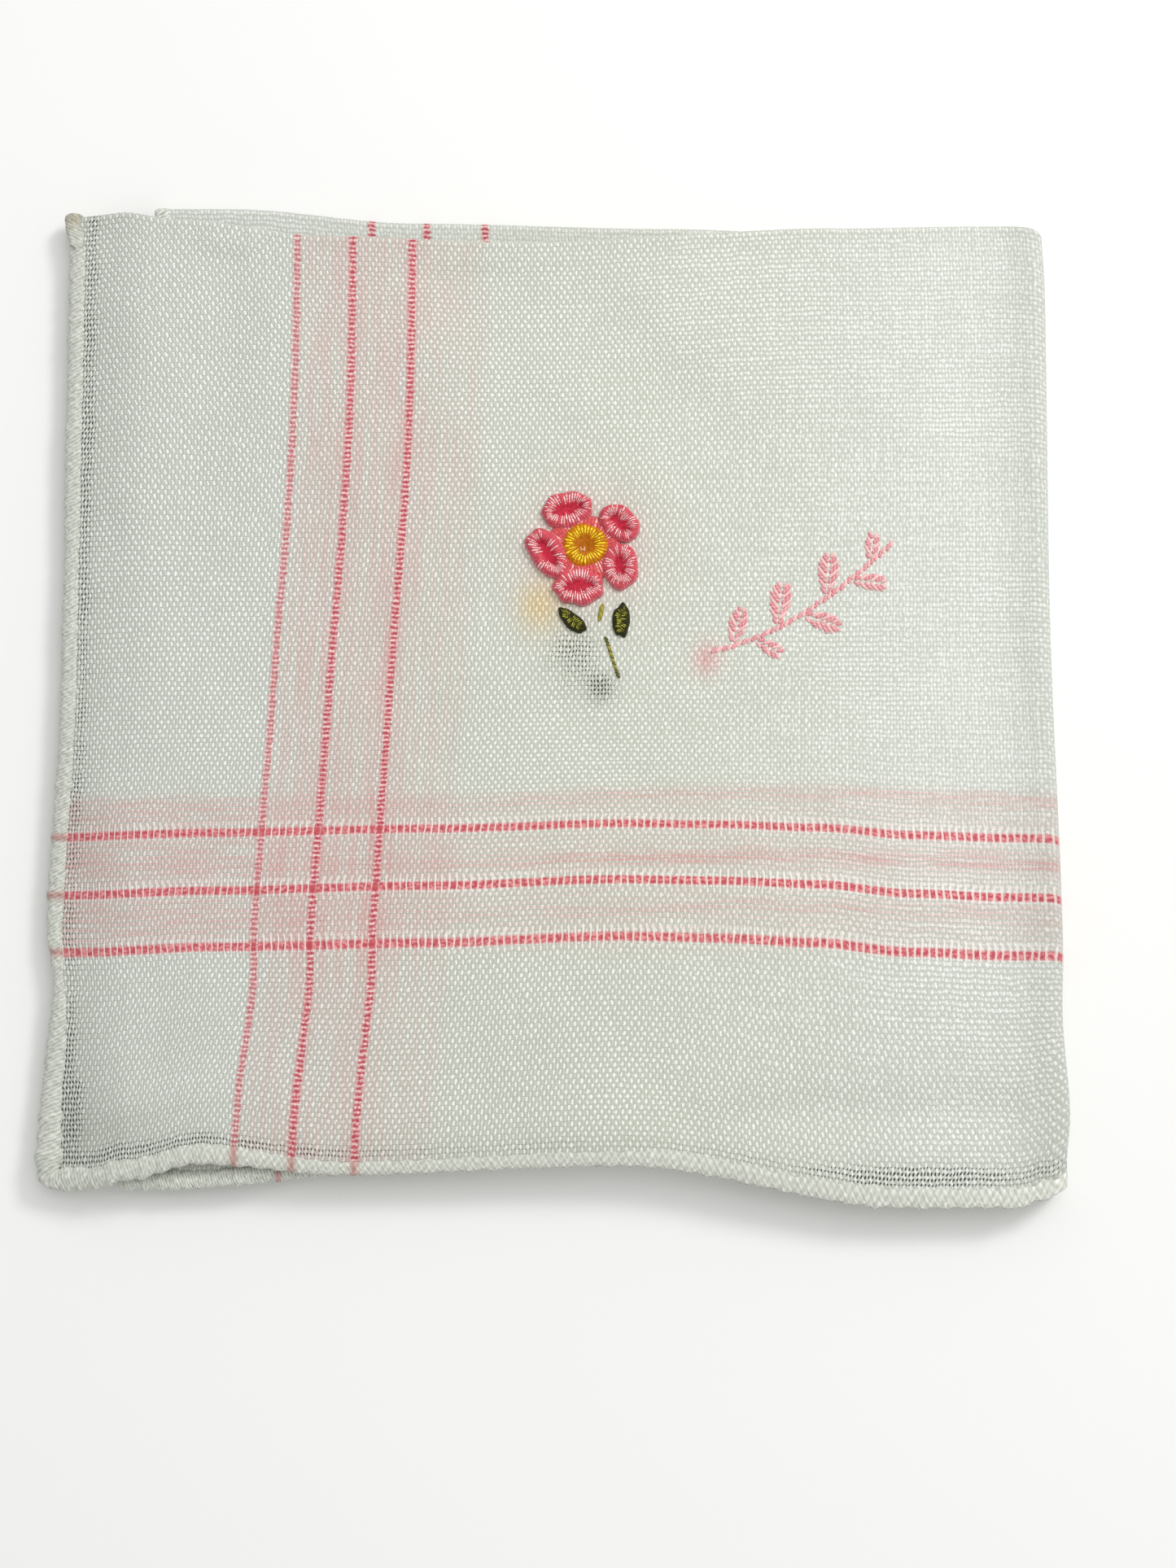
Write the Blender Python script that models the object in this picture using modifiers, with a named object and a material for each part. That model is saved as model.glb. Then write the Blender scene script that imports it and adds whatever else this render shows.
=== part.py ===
"""A lady's cotton handkerchief, folded twice into a quarter and lying flat, as one closed sheet.

The flat cloth has two coordinates, both 0 where its folds cross: across, which grows to the right,
and along, which grows upwards. The first fold, over the line along = 0, brings the back half under
the front half. The second, over the line across = 0, turns the right half under the left half.
From the top down the layers are front left, back left, back right and front right.

Lengths are in millimetres, and MM turns them to Blender's metres. Angles are in radians.
"""

import math
from typing import NamedTuple

import bmesh
import bpy
from mathutils import Matrix, Vector

MM = 0.001

# The cloth as cut and hemmed, from the crossing of its folds to each edge.
LEFT_WIDTH = 140.3
RIGHT_WIDTH = 128.0
FRONT_HEIGHT = 137.0
BACK_HEIGHT = 134.5

# Thickness of the cloth and of its rolled hem, and the hem's width. The hem's edge keeps this share
# of its extra thickness.
CLOTH = 1.0
HEM = 1.6
HEM_WIDTH = 3.0
HEM_EDGE_SHARE = 0.35

# Middles of neighbouring layers lie this far apart.
LAYER_PITCH = 1.7
FIRST_FOLD = LAYER_PITCH / 2
SECOND_FOLD = LAYER_PITCH
MIDDLE_HEIGHT = CLOTH / 2 + SECOND_FOLD + FIRST_FOLD

# Faces along each side of the cloth: in each hem, in each panel and round each fold. The band beside
# the left and the lower hem, where the cloth droops and buckles, has closer ones. The grid's hem is
# a little wider than the roll, so that the roll ends on a line.
GRID_HEM_WIDTH = HEM_WIDTH * 1.1
HEM_FACES = 5
BAND_FACES = 3
BAND_WIDTH = 14.0
PANEL_FACES = 12
FIRST_FOLD_FACES = 8
SECOND_FOLD_FACES = 10

# Where the pair of upper layers hangs past the pair below, it droops by this much, between these
# distances from the second fold.
DROOP = 2.6
DROOP_START = 125.0
DROOP_END = 137.0

# The shift of a top edge dies out this far down, where the shift of the hem takes over.
TOP_SHIFT_REACH = 62.0

# The rolled hem is pressed flatter this close to a fold.
PRESSED_REACH = 10.0
PRESSED_SHARE = 0.75

# Air under the middle of the top layer, how far its lower hem stands off the layer below, and how
# far in from that hem the lift and the buckles reach.
PUFF = 0.7
HEM_LIFT = 0.5
HEM_LIFT_REACH = 16.0
BUCKLE_REACH = 40.0

# What is this close above the table lies on it, so that the underside is truly flat.
FOOT_GAP = 0.05


class Station(NamedTuple):
    """A shift at one place along an edge: place is the distance from the fold that crosses the edge."""

    place: float
    value: float


class Layer(NamedTuple):
    """How one quarter of the cloth lies, as shifts of its edges in the plane and its share of the air.

    A top edge and a bottom hem shift up, with places counted from the second fold. A side hem
    shifts to the right, with places counted from the first.
    """

    top_edge: tuple
    bottom_hem: tuple
    side_hem: tuple
    air_share: float


class Buckle(NamedTuple):
    """A soft swelling along the bottom hem of the top layer."""

    from_fold: float
    half_width: float
    height: float


UPPER_TOP_EDGE = (
    Station(0.0, 0.2),
    Station(4.5, 0.6),
    Station(30.0, 0.3),
    Station(78.0, -1.8),
    Station(104.0, -0.9),
    Station(126.0, 1.7),
    Station(133.0, 3.0),
    Station(141.0, 2.9),
)
LOWER_TOP_EDGE = (
    Station(0.0, 0.2),
    Station(4.5, 0.5),
    Station(30.0, 0.7),
    Station(54.0, 1.5),
    Station(90.0, 2.3),
    Station(118.0, 4.5),
    Station(125.0, 4.2),
)

# How far the second fold bulges to the right, by the distance from the first. It dies out inwards.
FOLD_BULGE = (
    Station(0.0, 0.0),
    Station(8.0, 0.3),
    Station(55.0, -0.1),
    Station(104.0, 0.6),
    Station(113.0, 0.3),
    Station(127.0, 1.0),
    Station(134.0, 0.4),
)
FOLD_BULGE_REACH = 35.0

FRONT_LEFT = Layer(
    top_edge=UPPER_TOP_EDGE,
    bottom_hem=(
        Station(0.0, 0.5),
        Station(7.0, -1.0),
        Station(21.0, -1.0),
        Station(57.0, 4.3),
        Station(94.0, 2.9),
        Station(114.0, 4.8),
        Station(126.0, 2.6),
        Station(132.0, 1.3),
        Station(141.0, 1.0),
    ),
    side_hem=(
        Station(0.0, 0.3),
        Station(70.0, 0.8),
        Station(102.0, -0.2),
        Station(111.0, 0.8),
        Station(128.0, 0.0),
    ),
    air_share=1.0,
)
BACK_LEFT = Layer(
    top_edge=UPPER_TOP_EDGE,
    bottom_hem=(
        Station(0.0, 0.6),
        Station(21.0, 0.7),
        Station(57.0, 3.7),
        Station(94.0, 0.6),
        Station(128.0, -1.4),
    ),
    side_hem=(Station(0.0, 0.3), Station(9.0, 3.7), Station(85.0, 7.7), Station(134.0, 9.5)),
    air_share=0.5,
)
BACK_RIGHT = Layer(
    top_edge=LOWER_TOP_EDGE,
    bottom_hem=(Station(0.0, 0.6), Station(18.0, 4.0), Station(60.0, 6.0)),
    side_hem=(Station(0.0, 0.0), Station(12.0, 1.6)),
    air_share=0.2,
)
FRONT_RIGHT = Layer(
    top_edge=LOWER_TOP_EDGE,
    bottom_hem=(Station(0.0, 0.5), Station(18.0, 2.2), Station(60.0, 4.2)),
    side_hem=(Station(0.0, 0.0), Station(12.0, -2.0)),
    air_share=0.0,
)
BUCKLES = (
    Buckle(from_fold=57.0, half_width=22.0, height=0.9),
    Buckle(from_fold=114.0, half_width=9.0, height=0.7),
    Buckle(from_fold=4.0, half_width=8.0, height=0.4),
)


def eased(share):
    """A share from 0 to 1, with a level start and end."""
    share = min(max(share, 0.0), 1.0)
    return share * share * (3.0 - 2.0 * share)


def between(stations, place):
    """The value at a place, eased from one station to the next and level past the last ones."""
    if place <= stations[0].place:
        return stations[0].value
    for low, high in zip(stations, stations[1:]):
        if place <= high.place:
            share = eased((place - low.place) / (high.place - low.place))
            return low.value + share * (high.value - low.value)
    return stations[-1].value


def even_steps(start, end, count):
    """The starts of the even steps, as many as count, that lead from start to end."""
    return [start + (end - start) * i / count for i in range(count)]


def grid_lines(low_edge, fold_radius, fold_faces, high_edge):
    """Where the grid's lines lie along one side of the cloth: close in the hems and the fold."""
    fold_half = math.pi * fold_radius / 2
    hem = GRID_HEM_WIDTH
    band = hem + BAND_WIDTH
    lines = even_steps(low_edge, low_edge + hem, HEM_FACES)
    lines += even_steps(low_edge + hem, low_edge + band, BAND_FACES)
    lines += even_steps(low_edge + band, -fold_half, PANEL_FACES)
    lines += even_steps(-fold_half, fold_half, fold_faces)
    lines += even_steps(fold_half, high_edge - hem, PANEL_FACES)
    lines += even_steps(high_edge - hem, high_edge, HEM_FACES)
    return [*lines, high_edge]


def half_turn(flat, radius):
    """Where a strip goes that runs to a roller of this radius, half round it and straight back.

    Returns the straight run, which is 0 at the roller and negative away from it, and the angle
    round the roller, which is 0 before it and pi after it.
    """
    quarter = math.pi * radius / 2
    if flat < -quarter:
        return flat + quarter, 0.0
    if flat > quarter:
        return quarter - flat, math.pi
    return 0.0, (flat + quarter) / radius


def hem_share(across, along):
    """How much of the rolled hem's extra thickness lies at a point of the cloth, from 0 to 1."""
    side = min(across + LEFT_WIDTH, RIGHT_WIDTH - across)
    end = min(along + FRONT_HEIGHT, BACK_HEIGHT - along)
    from_edge = min(side, end)
    if from_edge >= HEM_WIDTH:
        return 0.0
    from_fold = abs(along) if side < end else abs(across)
    pressed = PRESSED_SHARE * math.exp(-((from_fold / PRESSED_REACH) ** 2))
    roll = math.sqrt(1.0 - (2.0 * from_edge / HEM_WIDTH - 1.0) ** 2)
    return (HEM_EDGE_SHARE + (1.0 - HEM_EDGE_SHARE) * roll) * (1.0 - pressed)


def layer_shift(layer, across, along, edge_height):
    """The shift of a point of one layer in the plane, to the right and upwards."""
    from_fold = abs(across)
    from_top = abs(along)
    top = between(layer.top_edge, from_fold) * (1.0 - eased(from_top / TOP_SHIFT_REACH))
    down = (from_top - TOP_SHIFT_REACH) / (edge_height - TOP_SHIFT_REACH)
    bottom = between(layer.bottom_hem, from_fold) * eased(down)
    rightward = between(layer.side_hem, from_top) * (from_fold / LEFT_WIDTH) ** 2
    return rightward, top + bottom


def layer_lift(layer, across, along, edge_height):
    """How far the air below raises a point of one layer."""
    from_fold = abs(across)
    from_hem = edge_height - abs(along)
    off_fold = eased(from_fold / HEM_LIFT_REACH)
    puff = PUFF * math.sin(math.pi * min(from_fold / LEFT_WIDTH, 1.0))
    puff *= math.sin(math.pi * max(from_hem / edge_height, 0.0))
    buckles = off_fold * eased(1.0 - from_hem / BUCKLE_REACH) * sum(
        buckle.height * math.exp(-(((from_fold - buckle.from_fold) / buckle.half_width) ** 2))
        for buckle in BUCKLES
    )
    hem = off_fold * HEM_LIFT * eased(1.0 - from_hem / HEM_LIFT_REACH)
    return layer.air_share * (puff + buckles) + (hem if layer is FRONT_LEFT else 0.0)


def folded(across, along):
    """A point of the flat cloth, carried round both folds."""
    first_run, first_angle = half_turn(along, FIRST_FOLD)
    second_run, second_angle = half_turn(across, SECOND_FOLD)
    out_of_middle = FIRST_FOLD * math.cos(first_angle)
    radius = SECOND_FOLD + out_of_middle
    x = second_run + radius * math.sin(second_angle)
    y = first_run + FIRST_FOLD * math.sin(first_angle)
    z = MIDDLE_HEIGHT + radius * math.cos(second_angle)

    front = (1.0 + math.cos(first_angle)) / 2
    left = (1.0 + math.cos(second_angle)) / 2
    quarters = (
        (FRONT_LEFT, front * left, FRONT_HEIGHT),
        (BACK_LEFT, (1.0 - front) * left, BACK_HEIGHT),
        (BACK_RIGHT, (1.0 - front) * (1.0 - left), BACK_HEIGHT),
        (FRONT_RIGHT, front * (1.0 - left), FRONT_HEIGHT),
    )
    x += between(FOLD_BULGE, abs(along)) * (1.0 - eased(abs(across) / FOLD_BULGE_REACH))
    for layer, share, edge_height in quarters:
        rightward, upward = layer_shift(layer, across, along, edge_height)
        x += share * rightward
        y += share * upward
        z += share * layer_lift(layer, across, along, edge_height)

    z -= left * DROOP * eased((-x - DROOP_START) / (DROOP_END - DROOP_START))
    underneath = front * (1.0 - left)
    z += underneath * hem_share(across, along) * (HEM - CLOTH) / 2
    return Vector((x, y, z)) * MM


def cloth_mesh():
    """The cloth's middle surface and the share of the hem's thickness at each vertex."""
    columns = grid_lines(-LEFT_WIDTH, SECOND_FOLD, SECOND_FOLD_FACES, RIGHT_WIDTH)
    rows = grid_lines(-FRONT_HEIGHT, FIRST_FOLD, FIRST_FOLD_FACES, BACK_HEIGHT)
    across_faces = len(columns) - 1
    along_faces = len(rows) - 1
    sheet = bmesh.new()
    bmesh.ops.create_grid(sheet, x_segments=across_faces, y_segments=along_faces, size=1.0)
    hem_shares = []
    for vertex in sheet.verts:
        column = round((vertex.co.x + 1.0) / 2 * across_faces)
        row = round((vertex.co.y + 1.0) / 2 * along_faces)
        hem_shares.append(hem_share(columns[column], rows[row]))
        vertex.co = folded(columns[column], rows[row])
    mesh = bpy.data.meshes.new("handkerchief")
    sheet.to_mesh(mesh)
    sheet.free()
    mesh.shade_smooth()
    return mesh, hem_shares


def cotton():
    """Cotton lawn: a dull white with a touch of grey-green."""
    material = bpy.data.materials.new("cotton_lawn")
    material.use_nodes = True
    shader = material.node_tree.nodes["Principled BSDF"]
    shader.inputs["Base Color"].default_value = (0.72, 0.75, 0.69, 1.0)
    shader.inputs["Roughness"].default_value = 0.85
    shader.inputs["Metallic"].default_value = 0.0
    return material


def thicken(cloth, hem_shares):
    """Gives the sheet its thickness, and more of it in the rolled hem."""
    hem = cloth.vertex_groups.new(name="hem")
    for index, share in enumerate(hem_shares):
        hem.add([index], share, "REPLACE")
    solidify = cloth.modifiers.new("thickness", "SOLIDIFY")
    solidify.thickness = HEM * MM
    solidify.offset = 0.0
    solidify.vertex_group = hem.name
    solidify.thickness_vertex_group = CLOTH / HEM


def settle(cloth):
    """Applies the thickness, puts the origin at the middle of the underside and flattens that."""
    evaluated = cloth.evaluated_get(bpy.context.evaluated_depsgraph_get())
    solid = bpy.data.meshes.new_from_object(evaluated)
    cloth.modifiers.clear()
    cloth.data = solid
    low = Vector(map(min, zip(*(vertex.co for vertex in solid.vertices))))
    high = Vector(map(max, zip(*(vertex.co for vertex in solid.vertices))))
    middle = (low + high) / 2
    solid.transform(Matrix.Translation((-middle.x, -middle.y, -low.z)))
    for vertex in solid.vertices:
        if vertex.co.z < FOOT_GAP * MM:
            vertex.co.z = 0.0


def main():
    for old in list(bpy.data.objects):
        bpy.data.objects.remove(old, do_unlink=True)
    collection = bpy.data.collections.new("handkerchief")
    bpy.context.scene.collection.children.link(collection)

    mesh, hem_shares = cloth_mesh()
    cloth = bpy.data.objects.new("handkerchief", mesh)
    collection.objects.link(cloth)
    mesh.materials.append(cotton())
    thicken(cloth, hem_shares)
    settle(cloth)


main()
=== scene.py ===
import math
from functools import partial

import bpy
import numpy as np
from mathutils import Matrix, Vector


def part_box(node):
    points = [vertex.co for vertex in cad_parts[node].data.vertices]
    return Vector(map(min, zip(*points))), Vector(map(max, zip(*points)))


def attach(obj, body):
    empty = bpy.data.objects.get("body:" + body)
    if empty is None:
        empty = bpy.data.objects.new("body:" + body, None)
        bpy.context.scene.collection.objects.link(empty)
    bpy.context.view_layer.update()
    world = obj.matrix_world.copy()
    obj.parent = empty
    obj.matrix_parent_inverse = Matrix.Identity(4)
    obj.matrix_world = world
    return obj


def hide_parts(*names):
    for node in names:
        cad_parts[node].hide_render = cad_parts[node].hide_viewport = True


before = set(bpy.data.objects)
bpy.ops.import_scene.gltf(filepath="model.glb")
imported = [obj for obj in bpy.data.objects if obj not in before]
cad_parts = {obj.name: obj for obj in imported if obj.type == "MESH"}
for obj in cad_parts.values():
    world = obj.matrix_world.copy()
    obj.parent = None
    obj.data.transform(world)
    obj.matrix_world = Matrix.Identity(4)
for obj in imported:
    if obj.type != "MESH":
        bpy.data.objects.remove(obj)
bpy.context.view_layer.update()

mm = 0.001  # the tables below are in millimetres, and Blender works in metres
mapSpan = 300.0  # mm of cloth that one unit of its map and of its hem's map stands for
print("frame loaded")


# Puts a mesh, a camera or a lamp into the scene as a new object.
def putObject(name, data, place=(0.0, 0.0, 0.0), turn=(0.0, 0.0, 0.0)):
    made = bpy.data.objects.new(name, data)
    bpy.context.scene.collection.objects.link(made)
    made.location, made.rotation_euler = place, turn
    return made


# Camera: above the cloth and a little to its lower side, as a phone over a table.
camera = dict(
    aim=(4.35, -12.93),  # where its axis meets the table
    distance=308.0,
    tilt=6.7,            # degrees off straight down
    lens=50.0,
    sensor=36.0,
)


def hangCamera():
    tilt = math.radians(camera["tilt"])
    reach = camera["distance"] * mm
    lens = bpy.data.cameras.new("overhead")
    lens.lens = camera["lens"]
    lens.sensor_width = camera["sensor"]
    lens.clip_start = 0.01
    aimX, aimY = camera["aim"]
    place = (aimX * mm, aimY * mm - reach * math.sin(tilt), reach * math.cos(tilt))
    bpy.context.scene.camera = putObject("overhead", lens, place, (tilt, 0.0, 0.0))


hangCamera()
print("camera hung")


# One colour from its sRGB hex, turned to linear light.
def linear(hexColour):
    parts = [int(hexColour[i:i + 2], 16) / 255 for i in (1, 3, 5)]
    lit = [c / 12.92 if c <= 0.04045 else ((c + 0.055) / 1.055) ** 2.4 for c in parts]
    return (*lit, 1.0)


# Feeds a socket with another one, a node's first output in use, a hex colour or a value.
def feed(socket, value):
    if isinstance(value, bpy.types.Node):
        value = next(output for output in value.outputs if output.enabled)
    if isinstance(value, bpy.types.NodeSocket):
        socket.id_data.links.new(value, socket)
    else:
        socket.default_value = linear(value) if isinstance(value, str) else value


# Adds a node with settings and feeds its inputs in their order, but for those that are None. Its
# kind may end with an operation or a mix's data type, and an operation alone is a Math node's.
def addNode(tree, kind, *inputs, **settings):
    kind, word = kind.split() if " " in kind else ("Math", kind) if kind.isupper() else (kind, None)
    made = tree.nodes.new("ShaderNode" + kind)
    if word:
        setattr(made, "data_type" if kind == "Mix" else "operation", word)
    for name, value in settings.items():
        setattr(made, name, value)
    for socket, value in zip([socket for socket in made.inputs if socket.enabled], inputs):
        if value is not None:
            feed(socket, value)
    return made


# Fills a colour ramp with pairs of place and hex.
def fillRamp(ramp, stops):
    ends = ramp.color_ramp.elements
    ends[0].position, ends[0].color = stops[0][0], linear(stops[0][1])
    ends[1].position, ends[1].color = stops[-1][0], linear(stops[-1][1])
    for place, hexColour in stops[1:-1]:
        ends.new(place).color = linear(hexColour)
    return ramp


# A new material, as its data, a function that adds nodes to its tree, and its Principled shader.
def newMaterial(name, settings):
    material = bpy.data.materials.new(name)
    material.use_nodes = True
    shader = material.node_tree.nodes["Principled BSDF"]
    for socket, value in settings.items():
        feed(shader.inputs[socket], value)
    return material, partial(addNode, material.node_tree), shader


# A share from 0 to 1 with a level start and end: three squares less two cubes.
def eased(share):
    share = np.clip(share, 0.0, 1.0)
    return share * share * (3.0 - 2.0 * share)


# A table's value at each place, eased from one row to the next and level past its ends.
def between(table, place):
    at, value = np.array(table, float).T
    k = np.clip(np.searchsorted(at, place) - 1, 0, len(at) - 2)
    return value[k] + eased((place - at[k]) / (at[k + 1] - at[k])) * (value[k + 1] - value[k])


# The same with straight runs whose corners are rounded over the given reach.
def runs(table, place, reach):
    at, value = np.array(table, float).T
    offsets = np.linspace(-reach, reach, 7)
    return sum(np.interp(place + step, at, value) for step in offsets) / len(offsets)


# A soft band between two values of a coordinate, with edges of the given softness.
def band(value, low, high, soft):
    return eased((value - low) / soft + 0.5) * eased((high - value) / soft + 0.5)


# A bell: 1 at its place and a third of that at its half width from there.
def bell(value, at, half):
    return np.exp(-(((value - at) / half) ** 2))


# Vectors brought to length 1.
def unit(vectors):
    return vectors / np.linalg.norm(vectors, axis=-1, keepdims=True)


# Flat vectors turned a quarter to the left.
def leftOf(vectors):
    return np.stack([-vectors[..., 1], vectors[..., 0]], -1)


# The length of a line of points, and a function that finds its points at any lengths along it.
def measureLine(points):
    lengths = np.append(0, np.cumsum(np.linalg.norm(np.diff(points, axis=0), axis=1)))
    return lengths[-1], lambda place: np.stack([np.interp(place, lengths, row) for row in points.T], -1)


# A soft spot: a bell over an ellipse.
def spot(x, y, atX, atY, halfX, halfY):
    return bell(x, atX, halfX) * bell(y, atY, halfY)


# The cloth as cut and hemmed. Its flat coordinates are across, to the right, and along, upwards,
# both 0 where the folds cross.
cloth = dict(
    leftWidth=140.3,
    rightWidth=128.0,
    frontHeight=137.0,
    backHeight=134.5,
    thick=0.5,
    firstFold=0.85,     # radius of the fold over the line along = 0
    secondFold=1.7,     # radius of the fold over the line across = 0
    middle=3.05,        # height of the second fold's axis
    droop=2.6,
    droopRuns=(125.0, 137.0),
    topReach=62.0,
    stripeRow=100.0,
    puff=0.7,
    hemLift=0.5,
    hemLiftReach=16.0,
    buckleReach=40.0,
    buckles=((57.0, 22.0, 0.9), (114.0, 9.0, 0.7), (4.0, 8.0, 0.4)),
    bulge=((0, 0.0), (8, 0.3), (55, -0.1), (104, 0.6), (113, 0.3), (127, 1.0), (134, 0.4)),
    bulgeReach=35.0,
    # How far the striped threads lean to the right, by the distance down from the first fold.
    lean=(
        (0, 2.0), (18, 2.0), (33, 1.6), (44, 0.95), (55, 0.1), (66, -0.7), (77, -1.2), (90, -1.7),
        (99, -1.95), (110, -2.85), (119, -3.45), (131, -4.6),
    ),
    leanAcross=((0, 0.0), (4, 0.0), (30, 1.0), (52, 1.0), (141, 0.0)),
    # The sheet ends inside the rolled hem, this far from its edge. Its grid has a stretch by the
    # hem, a band, a panel, the fold, a panel and a band, with these faces in each.
    inset=1.1,
    stretches=(6.0, 20.0),
    acrossFaces=(10, 14, 92, 14, 34, 8),
    alongFaces=(10, 14, 92, 12, 34, 8),
)

# How each quarter lies, from the top down: shifts of its edges up and of its side hem to the right,
# by the distance from the fold that crosses the edge. The row of stripes is the line of the lowest
# stripe but one.
upperTop = ((0, 0.2), (4.5, 0.6), (30, 0.3), (78, -1.8), (104, -0.9), (126, 1.7), (133, 3.0), (141, 2.9))
lowerTop = ((0, 0.2), (4.5, 0.5), (30, 0.7), (54, 1.5), (90, 2.3), (117, 4.5), (125.3, 4.5))
level = ((0, 0.0), (1, 0.0))

# Creases of the top quarter: start, end, half width and depth of soft troughs, in the frame.
creases = (
    ((-47.5, 62.0), (-49.0, 32.0), 5.0, 0.55),
    ((-62.0, -59.0), (-46.0, -46.0), 5.0, 0.55),
    ((-60.0, -61.5), (-44.0, -58.5), 2.0, 0.40),
    ((20.0, -60.5), (60.0, -58.0), 3.2, 0.60),
    ((-12.0, 59.0), (24.0, 39.0), 7.0, 0.40),
    ((30.0, -4.0), (62.0, 8.0), 6.0, 0.30),
    ((-62.0, 20.0), (-59.5, -12.0), 3.0, 0.35),
)
quarters = (
    dict(
        front=True, left=True, height="frontHeight", air=1.0, topEdge=upperTop,
        stripes=(
            (0, 1.5), (8, 1.6), (20, 2.1), (33, 3.4), (46, 3.9), (59, 4.1), (85, 3.2), (116, 2.5), (134, 2.0),
        ),
        bottomHem=(
            (0, 2.0), (3, 0.1), (7, -1.0), (21, -1.0), (57, 4.3), (94, 2.9), (114, 4.8), (126, 2.6),
            (132, 1.3), (141, 1.0),
        ),
        sideHem=((0, 0.3), (70, 0.8), (102, -0.2), (111, 0.8), (128, 0.0)),
    ),
    dict(
        front=False, left=True, height="backHeight", air=0.5, topEdge=upperTop, stripes=level,
        bottomHem=((0, 0.6), (21, 0.7), (57, 3.7), (94, 0.6), (128, -1.4)),
        sideHem=((0, 0.3), (9, 3.7), (85, 7.7), (134, 9.5)),
    ),
    dict(
        front=False, left=False, height="backHeight", air=0.2, topEdge=lowerTop, stripes=level,
        bottomHem=((0, 0.6), (18, 4.0), (60, 6.0)),
        sideHem=((0, 0.0), (12, 1.6)),
    ),
    dict(
        front=True, left=False, height="frontHeight", air=0.0, topEdge=lowerTop, stripes=level,
        bottomHem=((0, 0.5), (18, 2.2), (60, 4.2)),
        sideHem=((0, 0.0), (12, -2.0)),
    ),
)


# A strip that goes to a roller, half round it and back: its straight run, which is 0 at the roller
# and negative away from it, and its angle, from 0 to pi round it.
def halfTurn(flat, radius):
    quarter = math.pi * radius / 2
    run = np.minimum(np.minimum(flat + quarter, quarter - flat), 0.0)
    return run, np.clip((flat + quarter) / radius, 0.0, math.pi)


# Distance from the nearest side hem and from the nearest end hem.
def fromHems(across, along):
    side = np.minimum(across + cloth["leftWidth"], cloth["rightWidth"] - across)
    end = np.minimum(along + cloth["frontHeight"], cloth["backHeight"] - along)
    return side, end


# Soft unevenness of the cloth: a sum of slow waves in unlike directions.
def unevenness(across, along):
    waves = (
        (0.11, 21.0, 34.0, 0.3), (0.08, -17.0, 25.0, 1.9), (0.09, 43.0, -19.0, 4.1), (0.05, 11.0, 13.0, 2.2),
    )
    return sum(h * np.sin(2 * math.pi * (across / a + along / b) + phase) for h, a, b, phase in waves)


# Middle surface of the folded cloth. Each point goes round the first roller, then with its offset
# from the middle round the second, and then shifts with the quarter that it lies in.
def foldCloth(across, along):
    firstRun, firstAngle = halfTurn(along, cloth["firstFold"])
    secondRun, secondAngle = halfTurn(across, cloth["secondFold"])
    radius = cloth["secondFold"] + cloth["firstFold"] * np.cos(firstAngle)
    x = secondRun + radius * np.sin(secondAngle)
    y = firstRun + cloth["firstFold"] * np.sin(firstAngle)
    z = cloth["middle"] + radius * np.cos(secondAngle)

    fromFold, fromTop = abs(across), abs(along)
    frontShare = (1 + np.cos(firstAngle)) / 2
    leftShare = (1 + np.cos(secondAngle)) / 2
    x = x + between(cloth["bulge"], fromTop) * (1 - eased(fromFold / cloth["bulgeReach"]))
    offFold = eased(fromFold / cloth["hemLiftReach"])
    waves = sum(h * bell(fromFold, at, wide) for at, wide, h in cloth["buckles"])
    for quarter in quarters:
        share = (frontShare if quarter["front"] else 1 - frontShare)
        share = share * (leftShare if quarter["left"] else 1 - leftShare)
        height = cloth[quarter["height"]]
        fromHem = height - fromTop
        top = between(quarter["topEdge"], fromFold) * (1 - eased(fromTop / cloth["topReach"]))
        toRow = eased((fromTop - cloth["topReach"]) / (cloth["stripeRow"] - cloth["topReach"]))
        toHem = eased((fromTop - cloth["stripeRow"]) / (height - cloth["stripeRow"]))
        row = between(quarter["stripes"], fromFold) * toRow * (1 - toHem)
        if quarter["stripes"] is level:
            toHem = eased((fromTop - cloth["topReach"]) / (height - cloth["topReach"]))
        bottom = between(quarter["bottomHem"], fromFold) * toHem
        x = x + share * between(quarter["sideHem"], fromTop) * (fromFold / cloth["leftWidth"]) ** 2
        y = y + share * (top + row + bottom)
        puff = cloth["puff"] * np.sin(math.pi * np.minimum(fromFold / cloth["leftWidth"], 1))
        puff = puff * np.sin(math.pi * np.maximum(fromHem / height, 0))
        buckles = waves * offFold * eased(1 - fromHem / cloth["buckleReach"])
        z = z + share * quarter["air"] * (puff + buckles + unevenness(across, along) * offFold * 0.5)
        if quarter["air"] == 1.0:
            z = z + share * cloth["hemLift"] * offFold * eased(1 - fromHem / cloth["hemLiftReach"])

    lean = runs(cloth["lean"], fromTop, 8.0) * runs(cloth["leanAcross"], cloth["leftWidth"] - fromFold, 5.0)
    x = x + leftShare * lean
    start, end = cloth["droopRuns"]
    z = z - leftShare * cloth["droop"] * eased((-x - start) / (end - start))
    return np.stack([x, y, z], -1)


# The unit normal of the middle surface, from short steps across and along.
def clothNormal(across, along):
    step = 0.05
    onward = foldCloth(across + step, along) - foldCloth(across - step, along)
    upward = foldCloth(across, along + step) - foldCloth(across, along - step)
    return unit(np.cross(onward, upward))


# Where the grid's lines lie along one side of the cloth.
def gridLines(low, radius, high, faces):
    fold = math.pi * radius / 2
    inset, (near, far) = cloth["inset"], cloth["stretches"]
    stops = (low + inset, low + near, low + far, -fold, fold, high - near, high - inset)
    pieces = [np.linspace(a, b, n + 1)[:-1] for a, b, n in zip(stops, stops[1:], faces)]
    return np.concatenate([*pieces, [high - inset]])


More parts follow.
